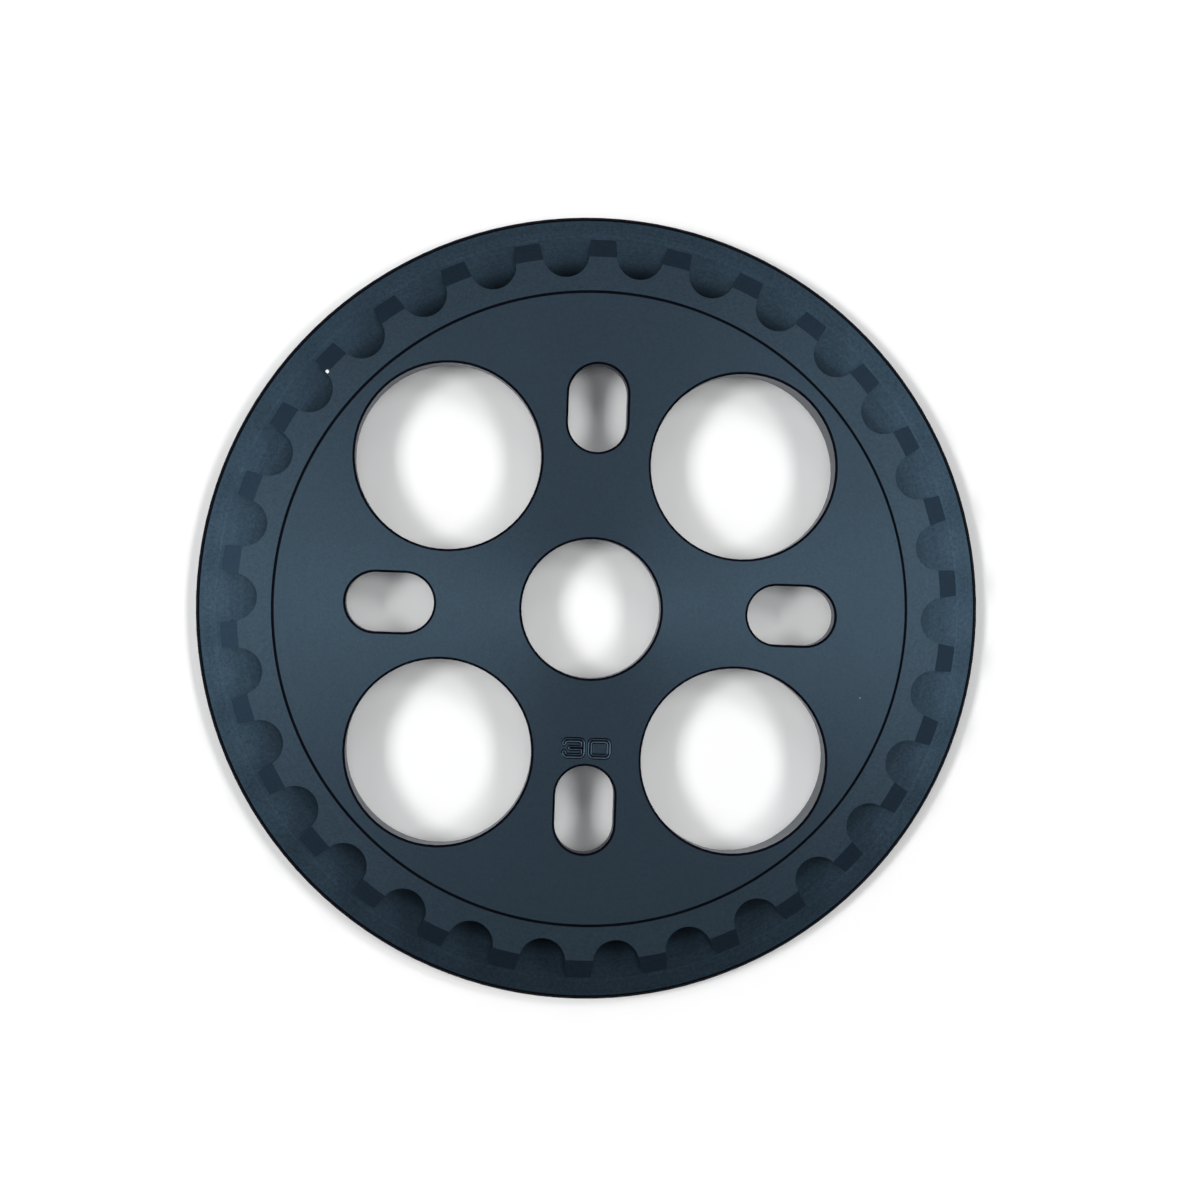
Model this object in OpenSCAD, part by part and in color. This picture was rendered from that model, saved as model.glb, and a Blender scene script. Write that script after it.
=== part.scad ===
/* [Chain and teeth] */
// Number of teeth
teeth = 30; // [25:1:36]
// Pitch of the chain, from one pin to the next
chain_pitch = 12.7; // [12:0.1:13.5]
// Diameter of the chain's rollers
roller_d = 7.77; // [7:0.01:8.5]
// Play of a roller in its valley, on the diameter
roller_play = 0.23; // [0.1:0.01:0.6]
// Lean of each side of a valley, outwards from the valley's middle line
flank_angle = 10; // [8:1:18]
// Thickness of the tooth ring
tooth_t = 3; // [2.4:0.1:3.6]
// Height of a tooth's tip above the pitch circle
tip_rise = 2.35; // [1.5:0.05:2.8]
// Rounding of a tip's two corners, seen along the axis
tip_round = 0.3; // [0.1:0.05:0.5]
// Length of the bevel on both faces of a tooth, along the radius
bevel_l = 3; // [1:0.1:3.6]
// Depth of that bevel at the tip
bevel_d = 1; // [0.4:0.1:1.15]
// Width of the groove for the chain's side plates, between teeth and guard
chain_gap = 4.1; // [3.4:0.1:5]
// Drop from the bottom of a valley to the wall of that groove
groove_drop = 1.5; // [0.5:0.1:2.5]
// Fillet at the root of the groove
groove_fillet = 1.6; // [0.4:0.1:3]

/* [Guard ring] */
// Reach of the guard past the tips of the teeth
guard_reach = 4.7; // [3.2:0.1:8]
// Thickness of the guard at the floor of the chain groove
guard_t = 2.9; // [2:0.1:4]
// Rise of the guard's face from the groove's floor to its outer land
land_rise = 0.5; // [0.2:0.1:1]
// Width of the outer land
land_w = 2.8; // [1.2:0.1:4]
// Distance from the tips of the teeth inwards to the foot of that rise
rise_inset = 1.2; // [0.2:0.1:2]

/* [Centre plate] */
// Thickness of the centre plate
plate_t = 4.4; // [3.6:0.1:6]
// Height of the plate's face above the face of the teeth
face_step = 0.35; // [0.2:0.05:0.6]
// Distance from the bottom of a valley inwards to the edge of the plate's face
face_inset = 2.45; // [1:0.05:4]
// Solid wall between the chain groove and the dish at the back
dish_wall = 2.3; // [1.5:0.1:4]
// Radius of the curve that carries the dish up to the plate
dish_curve_r = 12; // [8:0.5:16]

/* [Bore, windows and slots] */
// Diameter of the bore for the crank spindle
bore_d = 23.8; // [19:0.1:29]
// Number of round windows, with as many slots between them
windows = 4; // [3:1:5]
// Width of the ring of metal between the bore and the windows
hub_web = 7.9; // [5:0.1:11]
// Width of metal between the windows and the edge of the plate's face
rim_web = 2.8; // [1.6:0.1:5]
// Distance of each slot's middle from the bore's axis
slot_centre_r = 34.3; // [30:0.1:40]
// Width of a slot
slot_w = 10.1; // [7:0.1:12.6]
// Length of a slot, along the radius
slot_l = 15; // [12.8:0.1:19]
// Bevel that breaks the edges of bore, windows, slots and guard
edge_break = 0.4; // [0.1:0.05:0.5]

/* [Hidden] */
$fn = 180;
// Length by which a cutter runs past the face that it leaves
past = 1;
// Depth by which a curve runs into a line or arc that it would only touch, so that the two cross cleanly
bite = 0.02;

pitch_r = chain_pitch / 2 / sin(180 / teeth);
seat_r = (roller_d + roller_play) / 2;
root_r = pitch_r - seat_r;
tip_r = pitch_r + tip_rise;
groove_r = root_r - groove_drop;
face_r = root_r - face_inset;
guard_r = tip_r + guard_reach;
land_r = guard_r - land_w;
floor_r = tip_r - rise_inset;

flank_way = [sin(flank_angle), cos(flank_angle)];
flank_out = [cos(flank_angle), -sin(flank_angle)];
flank_start = (seat_r - bite) * flank_out;
mouth_y = tip_rise + past;
mouth_x = flank_start.x + (mouth_y - flank_start.y) * tan(flank_angle);

axis = [0, -pitch_r];
round_centre_r = tip_r - tip_round + bite;
round_start = flank_start + (tip_round - bite) * flank_out;
round_back = (round_start - axis) * flank_way;
round_side = (round_start - axis) * flank_out;
round_run = sqrt(pow(round_centre_r, 2) - pow(round_side, 2)) - round_back;
round_centre = round_start + round_run * flank_way;
tip_way = (round_centre - axis) / round_centre_r;
corner_reach = tip_round + past;

land_z = guard_t + land_rise;
ring_z = guard_t + chain_gap;
ring_top_z = ring_z + tooth_t;
face_z = ring_top_z + face_step;
plate_z = face_z - plate_t;

dish_mouth_r = groove_r - dish_wall;
dish_flat_r = dish_mouth_r - sqrt(pow(dish_curve_r, 2) - pow(dish_curve_r - plate_z, 2));

bore_r = bore_d / 2;
window_in_r = bore_r + hub_web;
window_out_r = face_r - rim_web;
window_r = (window_out_r - window_in_r) / 2;
window_centre_r = (window_out_r + window_in_r) / 2;
window_step = 360 / windows;
slot_run = slot_l - slot_w;

// Half section of the turned blank: guard, chain groove, tooth ring and centre plate
module blank_section() {
    difference() {
        union() {
            polygon([
                [0, 0],
                [guard_r - edge_break, 0],
                [guard_r, edge_break],
                [guard_r, land_z - edge_break],
                [guard_r - edge_break, land_z],
                [land_r, land_z],
                [floor_r, guard_t],
                [groove_r, guard_t],
                [groove_r, ring_z],
                [tip_r - bevel_l, ring_z],
                [tip_r, ring_z + bevel_d],
                [tip_r, ring_top_z - bevel_d],
                [tip_r - bevel_l, ring_top_z],
                [face_r, ring_top_z],
                [face_r - face_step, face_z],
                [0, face_z],
            ]);
            groove_fillet_section();
        }
        dish_section();
    }
}

// Fillet where the wall of the chain groove meets its floor
module groove_fillet_section() {
    difference() {
        translate([groove_r - groove_fillet, guard_t - groove_fillet])
            square(2 * groove_fillet);
        translate([groove_r + groove_fillet, guard_t + groove_fillet])
            circle(r = groove_fillet);
    }
}

// Dish in the back: flat under the plate, then curving out to its mouth
module dish_section() {
    translate([0, -past])
        square([dish_flat_r, plate_z + past]);
    translate([dish_flat_r, plate_z - dish_curve_r])
        circle(r = dish_curve_r);
}

// Outline of the space that one roller of the chain drops into, about the roller's middle
module valley_outline() {
    circle(r = seat_r);
    polygon([
        [-flank_start.x, flank_start.y],
        flank_start,
        [mouth_x, mouth_y],
        [-mouth_x, mouth_y],
    ]);
    for (side = [0, 1])
        mirror([side, 0])
            mouth_corner();
}

// Corner that a valley's mouth takes off the tip beside it, so that the tip is left rounded
module mouth_corner() {
    difference() {
        polygon([
            round_centre,
            round_centre + corner_reach * tip_way,
            round_centre - corner_reach * flank_out,
        ]);
        translate(round_centre)
            circle(r = tip_round);
    }
}

module valleys() {
    for (i = [0 : teeth - 1])
        rotate([0, 0, i * 360 / teeth - 90])
            translate([0, pitch_r, ring_z - chain_gap / 2])
                linear_extrude(chain_gap / 2 + tooth_t + face_step + past)
                    valley_outline();
}

// Round hole right through, with its front edge broken
module round_hole(r) {
    translate([0, 0, -past])
        cylinder(r = r, h = face_z + 2 * past);
    translate([0, 0, face_z - edge_break])
        cylinder(r1 = r, r2 = r + edge_break + past, h = edge_break + past);
}

module bore() {
    round_hole(bore_r);
    translate([0, 0, plate_z - past])
        cylinder(r1 = bore_r + edge_break + past, r2 = bore_r, h = edge_break + past);
}

module window_holes() {
    for (i = [0 : windows - 1])
        rotate([0, 0, (i + 0.5) * window_step])
            translate([window_centre_r, 0, 0])
                round_hole(window_r);
}

module slot_outline() {
    for (end = [-1, 1])
        translate([end * slot_run / 2, 0])
            circle(d = slot_w);
    square([slot_run, slot_w], center = true);
}

// Bevel round a slot, widening upwards from the slot's own width
module slot_bevel() {
    reach = edge_break + past;
    for (end = [-1, 1])
        translate([end * slot_run / 2, 0, 0])
            cylinder(d1 = slot_w, d2 = slot_w + 2 * reach, h = reach);
    rotate([90, 0, 90])
        linear_extrude(slot_run, center = true)
            polygon([
                [-slot_w / 2, 0],
                [slot_w / 2, 0],
                [slot_w / 2 + reach, reach],
                [-slot_w / 2 - reach, reach],
            ]);
}

module slots() {
    for (i = [0 : windows - 1])
        rotate([0, 0, i * window_step])
            translate([slot_centre_r, 0, 0]) {
                translate([0, 0, -past])
                    linear_extrude(face_z + 2 * past)
                        slot_outline();
                translate([0, 0, face_z - edge_break])
                    slot_bevel();
                translate([0, 0, plate_z + edge_break])
                    mirror([0, 0, 1])
                        slot_bevel();
            }
}

// The whole wheel, cut from one piece of aluminium plate
module sprocket() {
    color("#34465a")
        difference() {
            rotate_extrude()
                blank_section();
            valleys();
            bore();
            window_holes();
            slots();
        }
}

sprocket();
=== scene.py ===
import math

import bpy
import numpy as np
from mathutils import Matrix, Vector
from mathutils.geometry import delaunay_2d_cdt


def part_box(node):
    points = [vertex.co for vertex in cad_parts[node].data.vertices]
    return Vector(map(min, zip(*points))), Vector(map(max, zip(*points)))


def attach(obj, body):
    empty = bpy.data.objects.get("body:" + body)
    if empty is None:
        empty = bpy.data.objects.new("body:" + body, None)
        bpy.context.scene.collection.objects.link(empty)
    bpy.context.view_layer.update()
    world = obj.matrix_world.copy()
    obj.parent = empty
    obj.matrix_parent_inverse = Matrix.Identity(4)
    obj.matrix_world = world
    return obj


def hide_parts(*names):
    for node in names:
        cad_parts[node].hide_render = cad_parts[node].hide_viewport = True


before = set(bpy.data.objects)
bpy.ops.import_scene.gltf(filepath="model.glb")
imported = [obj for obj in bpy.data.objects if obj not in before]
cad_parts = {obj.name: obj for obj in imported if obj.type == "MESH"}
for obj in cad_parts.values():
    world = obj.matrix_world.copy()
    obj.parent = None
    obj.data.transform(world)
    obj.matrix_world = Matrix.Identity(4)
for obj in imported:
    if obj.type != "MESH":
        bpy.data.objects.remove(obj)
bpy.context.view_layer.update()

MM = 0.001
NODE = "sprocket"

# Part: its front face, its outer radius, and the shallow rise of the guard's face up to its outer land
FACE_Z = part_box(NODE)[1].z
GUARD_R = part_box(NODE)[1].x
LAND_R = GUARD_R - 2.8 * MM
RISE_FOOT_R = GUARD_R - 5.9 * MM
RISE_TOLERANCE = 0.05 * MM

# Heights and radii between the regions that the turned metal's pattern tells apart
TOOTH_RING_Z = 9.2 * MM
GROOVE_MID_Z = 4.8 * MM
BACK_Z = 1.0 * MM
DISH_R = 54.0 * MM
TOOTH_RING_R = (54.0 * MM, 54.3 * MM)
REGION_BLUR = 0.1 * MM

# Tooth count engraved in the face, in millimetres from the middle of the number
MARK_AT = (0.0, -23.8)
MARK_SIZE = (9.6, 4.8)
MARK_STEP = 0.06
DIGIT_SIZE = (3.2, 2.7)
DIGIT_PITCH = 4.4
DIGIT_CORNER_R = 0.6
THREE_BAR_INSET = 1.0
STROKE_EDGES = (0.0, 0.16, 0.31, 0.50)
STROKE_DEPTHS = (-0.42, -0.2, -0.2, 0.0)
CORNER_STEPS = 6

# Slopes that tell the kinds of face apart, as the height of a unit normal
UP = (0.0, 0.0, 1.0)
FLAT_SLOPE = 0.999
WALL_SLOPE = 0.2
BREAK_SLOPES = (0.6, 0.85)
BEVEL_SLOPES = (0.94, 0.96)
TURNED, MILLED, BROKEN, BEVELLED = range(4)

# Smallest distances that count, in metres for heights and in millimetres for joining points
SAME_HEIGHT = 1e-6
SAME_POINT_MM = 1e-6

# Colours and finish of the metal
ANODISED = (0.0315, 0.0505, 0.07)
# Painted shade: the guard gets a bluer tint that goes with its darker painted tone
GUARD_SHADE_TINT = (0.0295, 0.0505, 0.0725)
# Painted shade: the bevels get a bluer tint and a darker tone than the turned metal
BEVEL_SHADE_TINT = (0.028, 0.0495, 0.077)
# Painted dark reflection: the chamfers are near black, with little specular
EDGE_PAINTED_DARK = (0.002, 0.002, 0.006)
BARE = (0.8, 0.82, 0.85)
PLAIN_TONE = 1.0
BEVEL_SHADE_TONE = 0.56
TURNED_ROUGH = 0.42
BEVEL_ROUGH = 0.53
MILLED_ROUGH = 0.38
EDGE_ROUGH = 0.3
EDGE_SPECULAR = 0.03
STRETCH = 0.5
QUARTER_TURN = 0.25

# Unevenness of the turned metal: width of its patches, and how far each kind moves the tone
STREAK_SIZE = 0.16 * MM
STREAK_DRIFT = 0.9 * MM
GRAIN_SIZE = 0.35 * MM
MOTTLE_SIZE = 0.7 * MM
CLOUD_SIZE = 16 * MM
STREAK_TONE = 0.04
GUARD_STREAK_TONE = 0.07
GRAIN_TONE = 0.09
RING_MOTTLE_TONE = 0.07
GUARD_MOTTLE_TONE = 0.11
CLOUD_TONE = 0.03
STREAK_ROUGH = 0.02
MOTTLE_ROUGH = 0.015

# Unevenness of the milled walls, drawn out round them, and of the broken edges
MILL_LINE_SIZE = 0.13 * MM
MILL_LINE_STRETCH = (0.04, 0.04, 1.0)
MILL_GRAIN_SIZE = 0.2 * MM
MILL_LINE_TONE = 0.05
MILL_GRAIN_TONE = 0.03
MILL_LINE_ROUGH = 0.03
EDGE_GRAIN_SIZE = 0.3 * MM
EDGE_GRAIN_TONE = 0.15
EDGE_GRAIN_ROUGH = 0.03

# Fine relief: share of the streaks or lines against the grain, strength and depth
STREAK_RELIEF = 0.6
MILL_LINE_RELIEF = 0.8
TURNED_BUMP = 0.12
MILLED_BUMP = 0.15
BUMP_DEPTH = 0.01 * MM

# Bare spots: centre, radius and how much of the bare metal shows
NICK = ((-46.2 * MM, 38.75 * MM, 10.0 * MM), 0.36 * MM, 1.0)
SPECK = ((46.66 * MM, -13.68 * MM, 10.35 * MM), 0.12 * MM, 0.25)
SPOT_RAGGED_SIZE = 0.3 * MM
SPOT_RAGGED = 0.2
SPOT_CORE = 0.8

# Bands on the guard, partly the lathe's and partly painted shade and light, with a painted dark line at the
# rim last: middle and half width of each change in radius, and the new tone
# Painted shade: the guard's tone starts at half the plate's at its inner end
GUARD_SHADE_TONE = 0.5
GUARD_BANDS_AND_SHADE = (
    (57.9 * MM, 0.9 * MM, 0.82),
    (59.6 * MM, 0.4 * MM, 0.94),
    (62.2 * MM, 0.15 * MM, 1.0),
    (64.3 * MM, 0.1 * MM, 1.12),
    (64.6 * MM, 0.1 * MM, 1.02),
    (65.5 * MM, 0.2 * MM, 0.98),
    # Painted dark line beside the rim's chamfer
    (67.15 * MM, 0.06 * MM, 0.05),
)

# Painted shade on the guard: darker towards +Y and -Y, more towards -Y, and most at the valleys' inner
# ends, between two radii
GUARD_SIDE_SHADE = 0.1
NEAR_SIDE_SHADE = 0.2
VALLEY_SHADE_RADII = (61.4 * MM, 57.4 * MM)
VALLEY_SHADE = 0.8

# Painted dark line over the small step round the plate's face: radii where each of its edges starts and is
# full
STEP_PAINTED_DARK = ((53.8 * MM, 53.9 * MM), (54.42 * MM, 54.32 * MM))
STEP_PAINTED_DARK_TONE = 0.05

# Painted highlight on the ledge in each engraved stroke: heights from the face where each edge starts and
# is full
MARK_HIGHLIGHT = ((-0.13 * MM, -0.17 * MM), (-0.27 * MM, -0.23 * MM))
MARK_HIGHLIGHT_TONE = 2.2

# Camera: above the part, a little to the left of its middle
IMAGE_PX = 1200
FOCAL_PX = 2400
SENSOR_MM = 36.0
CAMERA_AT = Vector((-19.64, 3.43, 419.15)) * MM
CAMERA_TILT_DEG = (0.36, 2.941, -1.984)
CLIP = (0.01, 50.0)

# Floor: for rays that see it, its glow rises from a low lift to white between two distances from the middle
FLOOR_HALF = 6.0
FLOOR_COLOUR = 0.98
FLOOR_LIFT = 0.025
LIFT_REACH = (0.066, 0.16)

# Soft lights: zenith angle and azimuth in degrees, width and length in metres, power in watts
LIGHT_DISTANCE = 1.5
LIGHTS = {
    "left_light": (38, 180, 0.45, 0.31, 10.6),
    "left_near_light": (37, 217, 0.45, 0.31, 1.3),
    "left_far_light": (37, 143, 0.45, 0.31, 1.7),
    "right_light": (33, 0, 0.45, 0.31, 5.7),
    "right_far_light": (37, 37, 0.45, 0.31, 4.5),
    "far_light": (38, 90, 0.45, 0.31, 1.4),
    "overhead_light": (3, 90, 0.35, 0.35, 1.9),
}

# Room: dim overhead, with a glow near the horizon for rays that see it, up to a way that rises by this much
OVERHEAD = 0.02
HORIZON = 0.95
HORIZON_TOP = 0.65
WHITE = (1.0, 1.0, 1.0, 1.0)


class Graph:
    """The node tree of a material or a world, with short ways to add and join nodes"""

    def __init__(self, owner):
        self.owner = owner
        owner.use_nodes = True
        self.tree = owner.node_tree
        self.tree.nodes.clear()

    def add(self, kind, inputs=None, **settings):
        node = self.tree.nodes.new("ShaderNode" + kind)
        for name, value in settings.items():
            setattr(node, name, value)
        for name, value in (inputs or {}).items():
            socket = node.inputs[name]
            if isinstance(value, bpy.types.NodeSocket):
                self.tree.links.new(value, socket)
            else:
                socket.default_value = value
        return node

    def math(self, operation, *values):
        return self.add("Math", dict(enumerate(values)), operation=operation).outputs[0]

    def vector(self, operation, *values, output="Vector"):
        return self.add("VectorMath", dict(enumerate(values)), operation=operation).outputs[output]

    def scaled(self, vector, factor):
        return self.add("VectorMath", {0: vector, "Scale": factor}, operation="SCALE").outputs["Vector"]

    def changed(self, base, amount, pattern):
        """Base plus a share of a pattern"""
        return self.math("MULTIPLY_ADD", pattern, amount, base)

    def noise(self, vector, size, detail=2.0, roughness=0.5):
        """Noise from about -1 to 1 whose patches are as wide as size"""
        inputs = {"Vector": vector, "Scale": 1 / size, "Detail": detail, "Roughness": roughness}
        fac = self.add("TexNoise", inputs).outputs[0]
        return self.math("MULTIPLY_ADD", fac, 4.0, -2.0)

    def step(self, value, low, high, before=0.0, after=1.0):
        """The number before where value is under low, after where it is over high, and smooth between"""
        inputs = {"Value": value, "From Min": low, "From Max": high, "To Min": before, "To Max": after}
        return self.add("MapRange", inputs, interpolation_type="SMOOTHSTEP").outputs["Result"]

    def line(self, value, *edges):
        """1 between two edges, each a pair of where it starts and where it is full, and 0 outside them"""
        return self.math("MULTIPLY", *(self.step(value, *edge) for edge in edges))

    def mix(self, factor, a, b):
        """Mix of two colours, by the colour sockets' numbers because their names repeat"""
        return self.add("Mix", {0: factor, 6: a, 7: b}, data_type="RGBA").outputs[2]

    def bump(self, relief, strength):
        return self.add("Bump", {"Height": relief, "Strength": strength, "Distance": BUMP_DEPTH}).outputs[0]

    def seen_rays(self):
        """1 for rays that see a surface directly, in a reflection or through glass, and 0 for the rest"""
        path = self.add("LightPath")
        seen = self.math("MAXIMUM", path.outputs["Is Camera Ray"], path.outputs["Is Glossy Ray"])
        return self.math("MAXIMUM", seen, path.outputs["Is Transmission Ray"])

    def finish(self, shader, output="OutputMaterial"):
        self.add(output, {"Surface": shader.outputs[0]})
        return self.owner


def bare_spots(graph, place, colour):
    """Colour with the nick on a tooth and the speck on the face, both small ragged spots of bare metal"""
    for centre, size, show in (NICK, SPECK):
        away = graph.vector("DISTANCE", place, centre, output="Value")
        ragged = graph.changed(away, SPOT_RAGGED * size, graph.noise(place, SPOT_RAGGED_SIZE))
        spot = graph.math("MULTIPLY", graph.step(ragged, size, SPOT_CORE * size), show)
        colour = graph.mix(spot, colour, (*BARE, 1.0))
    return colour


def guard_mask(graph, radius, height):
    """1 on the guard's face, under the teeth and past them, and 0 on the rest"""
    mask = graph.step(height, GROOVE_MID_Z, GROOVE_MID_Z - 2 * REGION_BLUR)
    mask = graph.math("MULTIPLY", mask, graph.step(height, BACK_Z, BACK_Z + REGION_BLUR))
    return graph.math("MULTIPLY", mask, graph.step(radius, DISH_R, DISH_R + REGION_BLUR))


def guard_tone_and_shade(graph, radius, way):
    """Tone of the guard's face: bands, partly painted shade and light, and painted shade towards +Y and -Y
    and at the valleys' inner ends
    """
    tone, before = GUARD_SHADE_TONE, GUARD_SHADE_TONE
    for middle, blur, after in GUARD_BANDS_AND_SHADE:
        tone = graph.changed(tone, after - before, graph.step(radius, middle - blur, middle + blur))
        before = after
    side = graph.add("SeparateXYZ", {0: way}).outputs["Y"]
    near = graph.math("MINIMUM", side, 0.0)
    near = graph.math("MULTIPLY", near, near)
    side = graph.math("MULTIPLY", side, side)
    # Painted shade at the valleys' inner ends and towards +Y and -Y
    valley_shade = graph.math("MULTIPLY", side, graph.step(radius, *VALLEY_SHADE_RADII))
    side_shade = graph.changed(1.0, -GUARD_SIDE_SHADE, side)
    side_shade = graph.changed(side_shade, -NEAR_SIDE_SHADE, near)
    tone = graph.math("MULTIPLY", tone, graph.changed(1.0, -VALLEY_SHADE, valley_shade))
    return graph.math("MULTIPLY", tone, side_shade)


def plate_tone_with_painted_lines(graph, radius, height, tone):
    """Tone of the rest, with the painted dark line over the step and the painted highlight on the
    engraving's ledges
    """
    # Painted dark line over the step, for the dark reflection in its chamfer
    line = graph.line(radius, *STEP_PAINTED_DARK)
    line = graph.math("MULTIPLY", line, graph.step(height, TOOTH_RING_Z, TOOTH_RING_Z + REGION_BLUR))
    # Painted highlight on the engraving's ledges
    ledge_highlight = graph.line(graph.math("SUBTRACT", height, FACE_Z), *MARK_HIGHLIGHT)
    tone = graph.changed(tone, (STEP_PAINTED_DARK_TONE - 1.0) * tone, line)
    return graph.changed(tone, MARK_HIGHLIGHT_TONE - 1.0, ledge_highlight)


def turned_material(name, dye_or_shade_tint, tone, roughness):
    """Metal off the lathe, whose fine rings stretch the highlights along the radius"""
    graph = Graph(bpy.data.materials.new(name))
    place = graph.add("TexCoord").outputs["Object"]
    flat = graph.vector("MULTIPLY", place, (1.0, 1.0, 0.0))
    way = graph.vector("NORMALIZE", flat)
    radius = graph.vector("LENGTH", flat, output="Value")
    height = graph.add("SeparateXYZ", {0: place}).outputs["Z"]
    guard = guard_mask(graph, radius, height)
    ring = graph.step(radius, *TOOTH_RING_R)

    drift = graph.scaled(way, STREAK_DRIFT)
    across = graph.add("CombineXYZ", {"Z": graph.math("ADD", radius, height)}).outputs[0]
    streaks = graph.noise(graph.vector("ADD", drift, across), STREAK_SIZE, detail=4.0, roughness=0.6)
    grain = graph.noise(place, GRAIN_SIZE)
    mottle = graph.noise(place, MOTTLE_SIZE, detail=3.0, roughness=0.7)
    cloud = graph.noise(place, CLOUD_SIZE)

    uneven = graph.changed(1.0, GRAIN_TONE, grain)
    uneven = graph.changed(uneven, CLOUD_TONE, cloud)
    uneven = graph.changed(uneven, graph.changed(STREAK_TONE, GUARD_STREAK_TONE, guard), streaks)
    mottling = graph.changed(graph.math("MULTIPLY", ring, RING_MOTTLE_TONE), GUARD_MOTTLE_TONE, guard)
    uneven = graph.changed(uneven, mottling, mottle)
    # These tones hold painted shade on the guard and bevels, a painted dark line over the step and a
    # painted highlight in the engraving
    tones = graph.mix(guard, plate_tone_with_painted_lines(graph, radius, height, tone), guard_tone_and_shade(graph, radius, way))
    dyes_and_shade_tints = graph.mix(guard, (*dye_or_shade_tint, 1.0), (*GUARD_SHADE_TINT, 1.0))
    colour = graph.vector("MULTIPLY", graph.scaled(tones, uneven), dyes_and_shade_tints)

    rough = graph.changed(roughness, MOTTLE_ROUGH, mottle)
    rough = graph.changed(rough, STREAK_ROUGH, streaks)
    shader = graph.add("BsdfPrincipled", {
        "Base Color": bare_spots(graph, place, colour),
        "Metallic": 1.0,
        "Roughness": rough,
        "Anisotropic": STRETCH,
        "Anisotropic Rotation": QUARTER_TURN,
        "Normal": graph.bump(graph.changed(grain, STREAK_RELIEF, streaks), TURNED_BUMP),
        "Tangent": graph.add("Tangent", direction_type="RADIAL", axis="Z").outputs[0],
    })
    return graph.finish(shader)


def milled_material():
    graph = Graph(bpy.data.materials.new("milled_anodised"))
    place = graph.add("TexCoord").outputs["Object"]
    drawn_out = graph.vector("MULTIPLY", place, MILL_LINE_STRETCH)
    lines = graph.noise(drawn_out, MILL_LINE_SIZE, detail=3.0, roughness=0.6)
    grain = graph.noise(place, MILL_GRAIN_SIZE)
    tone = graph.changed(1.0, MILL_LINE_TONE, lines)
    tone = graph.changed(tone, MILL_GRAIN_TONE, grain)
    shader = graph.add("BsdfPrincipled", {
        "Base Color": bare_spots(graph, place, graph.scaled(ANODISED, tone)),
        "Metallic": 1.0,
        "Roughness": graph.changed(MILLED_ROUGH, MILL_LINE_ROUGH, lines),
        "Normal": graph.bump(graph.changed(grain, MILL_LINE_RELIEF, lines), MILLED_BUMP),
    })
    return graph.finish(shader)


def broken_edge_material():
    # Chamfers painted near black for the dark reflections on them
    graph = Graph(bpy.data.materials.new("broken_edge_painted_dark"))
    place = graph.add("TexCoord").outputs["Object"]
    grain = graph.noise(place, EDGE_GRAIN_SIZE)
    shader = graph.add("BsdfPrincipled", {
        "Base Color": graph.scaled(EDGE_PAINTED_DARK, graph.changed(1.0, EDGE_GRAIN_TONE, grain)),
        "Specular IOR Level": EDGE_SPECULAR,
        "Roughness": graph.changed(EDGE_ROUGH, EDGE_GRAIN_ROUGH, grain),
    })
    return graph.finish(shader)


def floor_material():
    graph = Graph(bpy.data.materials.new("pale_floor"))
    place = graph.add("TexCoord").outputs["Object"]
    away = graph.vector("LENGTH", place, output="Value")
    level = graph.step(away, *LIFT_REACH, FLOOR_LIFT, 1.0)
    lift = graph.add("Emission", {"Strength": graph.math("MULTIPLY", graph.seen_rays(), level)})
    paper = graph.add("BsdfDiffuse", {"Color": (FLOOR_COLOUR, FLOOR_COLOUR, FLOOR_COLOUR, 1.0)})
    return graph.finish(graph.add("AddShader", {0: paper.outputs[0], 1: lift.outputs[0]}))


def build_floor():
    mesh = bpy.data.meshes.new("floor")
    corners = [(-FLOOR_HALF, -FLOOR_HALF, 0), (FLOOR_HALF, -FLOOR_HALF, 0)]
    corners += [(FLOOR_HALF, FLOOR_HALF, 0), (-FLOOR_HALF, FLOOR_HALF, 0)]
    mesh.from_pydata(corners, [], [(0, 1, 2, 3)])
    mesh.materials.append(floor_material())
    floor = bpy.data.objects.new("floor", mesh)
    bpy.context.scene.collection.objects.link(floor)


def build_camera():
    data = bpy.data.cameras.new("camera")
    data.sensor_width = SENSOR_MM
    data.lens = FOCAL_PX / IMAGE_PX * SENSOR_MM
    data.clip_start, data.clip_end = CLIP
    camera = bpy.data.objects.new("camera", data)
    tilt_x, tilt_y, roll = (math.radians(a) for a in CAMERA_TILT_DEG)
    to_camera = Matrix.Rotation(tilt_x, 3, "X") @ Matrix.Rotation(tilt_y, 3, "Y")
    to_camera = to_camera @ Matrix.Rotation(roll, 3, "Z")
    camera.matrix_world = Matrix.Translation(CAMERA_AT) @ to_camera.transposed().to_4x4()
    bpy.context.scene.collection.objects.link(camera)
    bpy.context.scene.camera = camera


def soft_light(name, zenith_deg, azimuth_deg, width, length, power):
    """Area light that faces the part, with its length along the arc from the zenith to the floor"""
    data = bpy.data.lights.new(name, "AREA")
    data.shape = "RECTANGLE"
    data.size = width
    data.size_y = length
    data.energy = power
    light = bpy.data.objects.new(name, data)
    zenith, azimuth = math.radians(zenith_deg), math.radians(azimuth_deg)
    outward = math.sin(zenith)
    way = Vector((outward * math.cos(azimuth), outward * math.sin(azimuth), math.cos(zenith)))
    light.location = way * LIGHT_DISTANCE
    light.rotation_mode = "QUATERNION"
    light.rotation_quaternion = way.to_track_quat("Z", "Y")
    bpy.context.scene.collection.objects.link(light)


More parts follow.
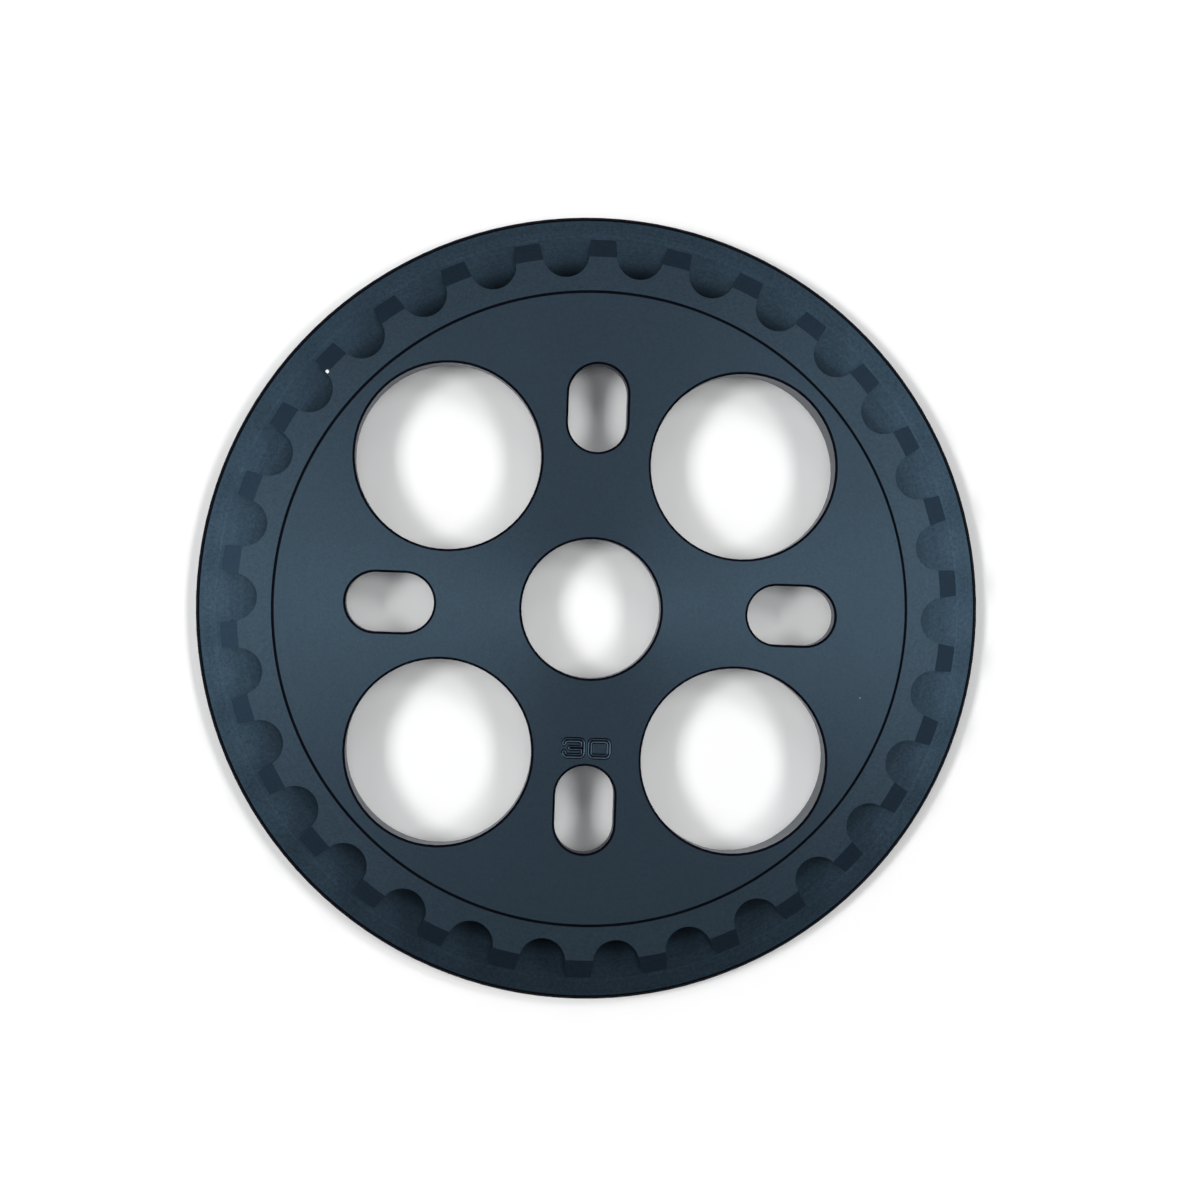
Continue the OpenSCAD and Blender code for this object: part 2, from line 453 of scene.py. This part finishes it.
def build_light():
    for name, values in LIGHTS.items():
        soft_light(name, *values)
    graph = Graph(bpy.data.worlds.new("world"))
    way = graph.add("TexCoord").outputs["Generated"]
    rise = graph.add("SeparateXYZ", {0: way}).outputs["Z"]
    glow = graph.math("MULTIPLY", graph.seen_rays(), graph.step(rise, 0.0, HORIZON_TOP, HORIZON, 0.0))
    room = graph.add("Background", {"Color": WHITE, "Strength": graph.math("ADD", glow, OVERHEAD)})
    bpy.context.scene.world = graph.finish(room, "OutputWorld")


def islands(count, faces):
    """Groups of face indices that share corners"""
    parent = list(range(count))

    def root(vertex):
        while parent[vertex] != vertex:
            parent[vertex] = parent[parent[vertex]]
            vertex = parent[vertex]
        return vertex

    for face in faces:
        for vertex in face[1:]:
            parent[root(vertex)] = root(face[0])
    groups = {}
    for index, face in enumerate(faces):
        groups.setdefault(root(face[0]), []).append(index)
    return list(groups.values())


def finish_of(slopes):
    """Kind of face that a group is, from the heights of its unit normals"""
    slopes = np.abs(slopes)
    if slopes.max() < WALL_SLOPE:
        return MILLED
    if slopes.min() > BREAK_SLOPES[0] and slopes.max() < BREAK_SLOPES[1]:
        return BROKEN
    if slopes.min() > BEVEL_SLOPES[0] and slopes.max() < BEVEL_SLOPES[1]:
        return BEVELLED
    return TURNED


def is_rise(points):
    """Whether a group is the shallow rise of the guard's face, which is given flat normals"""
    radii = np.hypot(points[:, 0], points[:, 1])
    return abs(radii.min() - RISE_FOOT_R) < RISE_TOLERANCE and abs(radii.max() - LAND_R) < RISE_TOLERANCE


def border_loops(faces):
    """Closed loops of vertices round a group of faces"""
    edges = {(a, b) for face in faces for a, b in zip(face, face[1:] + face[:1])}
    after = {a: b for a, b in edges if (b, a) not in edges}
    loops = []
    while after:
        start, vertex = after.popitem()
        loop = [start]
        while vertex != start:
            loop.append(vertex)
            vertex = after.pop(vertex)
        loops.append(loop)
    return loops


def corner_arc(x, y, start_deg):
    """Points of a quarter turn about a corner of a digit's centre line"""
    angles = np.radians(start_deg + np.linspace(0, 90, CORNER_STEPS + 1))
    return [(x + DIGIT_CORNER_R * math.cos(a), y + DIGIT_CORNER_R * math.sin(a)) for a in angles]


def digit_lines():
    """Centre lines of the two digits, as lists of points in millimetres"""
    half_w, half_h = DIGIT_SIZE[0] / 2, DIGIT_SIZE[1] / 2
    in_x, in_y = half_w - DIGIT_CORNER_R, half_h - DIGIT_CORNER_R
    lower = corner_arc(-in_x, -in_y, 180) + corner_arc(in_x, -in_y, 270)
    upper = corner_arc(in_x, in_y, 0) + corner_arc(-in_x, in_y, 90)
    nought = lower + upper + lower[:1]
    three = lower + upper
    bar = [(-half_w + THREE_BAR_INSET, 0.0), (half_w, 0.0)]
    shifted = []
    for line, side in ((three, -1), (bar, -1), (nought, 1)):
        shifted.append([(x + side * DIGIT_PITCH / 2, y) for x, y in line])
    return shifted


def stroke_depth(x, y):
    """Height of the engraving at each point against the face, in millimetres"""
    nearest = np.full(x.shape, np.inf)
    for line in digit_lines():
        for (ax, ay), (bx, by) in zip(line, line[1:]):
            run = (bx - ax) ** 2 + (by - ay) ** 2
            t = np.clip(((x - ax) * (bx - ax) + (y - ay) * (by - ay)) / run, 0, 1)
            nearest = np.minimum(nearest, np.hypot(x - ax - t * (bx - ax), y - ay - t * (by - ay)))
    return np.interp(nearest, STROKE_EDGES, STROKE_DEPTHS)


def mark_patch():
    """Engraved rectangle of the face: points in metres, faces, finishes and border"""
    columns, rows = (round(size / MARK_STEP) for size in MARK_SIZE)
    x, y = np.meshgrid(
        np.linspace(-MARK_SIZE[0] / 2, MARK_SIZE[0] / 2, columns + 1),
        np.linspace(-MARK_SIZE[1] / 2, MARK_SIZE[1] / 2, rows + 1),
    )
    z = stroke_depth(x, y) * MM + FACE_Z
    points = np.stack([(x + MARK_AT[0]) * MM, (y + MARK_AT[1]) * MM, z], axis=-1)
    index = np.arange(x.size).reshape(x.shape)
    quads = np.stack([index[:-1, :-1], index[:-1, 1:], index[1:, 1:], index[1:, :-1]], axis=-1)
    normals = np.cross(points[1:, 1:] - points[:-1, :-1], points[1:, :-1] - points[:-1, 1:])
    slopes = normals[..., 2] / np.linalg.norm(normals, axis=-1)
    finishes = np.where(slopes > BREAK_SLOPES[1], TURNED, BROKEN).ravel()
    border = np.concatenate([index[0, :-1], index[:-1, -1], index[-1, :0:-1], index[:0:-1, 0]])
    points = points.reshape(-1, 3)
    return points, quads.reshape(-1, 4).tolist(), finishes.tolist(), points[border]


def inside(points, loop):
    """Whether each point lies inside a closed loop"""
    hits = np.zeros(len(points), int)
    for (ax, ay), (bx, by) in zip(loop, np.roll(loop, -1, axis=0)):
        if ay == by:
            continue
        crosses = (points[:, 1] < ay) != (points[:, 1] < by)
        hits += crosses & (points[:, 0] < ax + (points[:, 1] - ay) * (bx - ax) / (by - ay))
    return hits % 2 == 1


def flat_face(loops):
    """Triangles of the flat face between an outer loop and the loops inside it"""
    loops = sorted(loops, key=lambda loop: -np.ptp(loop[:, 0]))
    points = np.concatenate(loops)
    edges, start = [], 0
    for loop in loops:
        edges += [(start + k, start + (k + 1) % len(loop)) for k in range(len(loop))]
        start += len(loop)
    joined = delaunay_2d_cdt([Vector(p) for p in points / MM], edges, [], 0, SAME_POINT_MM)
    vertices = np.array([tuple(v) for v in joined[0]]) * MM
    triangles = joined[2]
    middles = vertices[np.array(triangles)].mean(axis=1)
    keep = inside(middles, loops[0])
    for loop in loops[1:]:
        keep &= ~inside(middles, loop)
    return vertices, [triangle for triangle, kept in zip(triangles, keep) if kept]


class Skin:
    """Faces gathered for one mesh, with a finish for each and a normal for each corner"""

    def __init__(self):
        self.points, self.faces, self.finishes, self.normals = [], [], [], []

    def add(self, points, faces, finishes, normals):
        start = len(self.points)
        self.points += [tuple(point) for point in points]
        self.faces += [[start + corner for corner in face] for face in faces]
        self.finishes += finishes
        self.normals += normals

    def mesh(self, name):
        mesh = bpy.data.meshes.new(name)
        mesh.from_pydata(self.points, [], self.faces)
        mesh.polygons.foreach_set("material_index", self.finishes)
        mesh.polygons.foreach_set("use_smooth", [True] * len(self.faces))
        mesh.normals_split_custom_set(self.normals)
        return mesh


def add_cad_faces(skin):
    """Add the faces of the CAD piece, apart from the flat front one, and return that one's outlines"""
    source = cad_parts[NODE].data
    places = np.array([v.co for v in source.vertices])
    faces = [list(p.vertices) for p in source.polygons]
    slopes = np.array([p.normal.z for p in source.polygons])
    corner_normals = np.array([n.vector for n in source.corner_normals])
    for group in islands(len(places), faces):
        group_faces = [faces[i] for i in group]
        used = sorted({corner for face in group_faces for corner in face})
        points = places[used]
        if slopes[group].min() > FLAT_SLOPE and abs(points[0, 2] - FACE_Z) < SAME_HEIGHT:
            front_loops = [places[loop][:, :2] for loop in border_loops(group_faces)]
            continue
        corners = [corner for i in group for corner in source.polygons[i].loop_indices]
        normals = [UP] * len(corners) if is_rise(points) else corner_normals[corners].tolist()
        new = {old: number for number, old in enumerate(used)}
        group_faces = [[new[corner] for corner in face] for face in group_faces]
        skin.add(points, group_faces, [finish_of(slopes[group])] * len(group), normals)
    return front_loops


def add_front_face(skin, loops):
    """Add the flat front face with the engraved patch in it, where a zero normal leaves the smooth one"""
    points, quads, finishes, border = mark_patch()
    flat, triangles = flat_face(loops + [border[:, :2]])
    flat = [(x, y, FACE_Z) for x, y in flat]
    skin.add(flat, triangles, [TURNED] * len(triangles), [UP] * (3 * len(triangles)))
    skin.add(points, quads, finishes, [(0.0, 0.0, 0.0)] * (4 * len(quads)))


def build_sprocket():
    skin = Skin()
    front_loops = add_cad_faces(skin)
    add_front_face(skin, front_loops)
    mesh = skin.mesh("sprocket_body")
    mesh.materials.append(turned_material("turned_anodised_painted_shade", ANODISED, PLAIN_TONE, TURNED_ROUGH))
    mesh.materials.append(milled_material())
    mesh.materials.append(broken_edge_material())
    # Bevels: a shaded copy of the turned metal, with painted shade in its tint and tone
    mesh.materials.append(turned_material("bevelled_painted_shade", BEVEL_SHADE_TINT, BEVEL_SHADE_TONE, BEVEL_ROUGH))
    piece = bpy.data.objects.new("sprocket_body", mesh)
    bpy.context.scene.collection.objects.link(piece)
    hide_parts(NODE)
    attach(piece, "root")


build_camera()
build_floor()
build_light()
build_sprocket()

bpy.context.scene.view_settings.view_transform = "Standard"
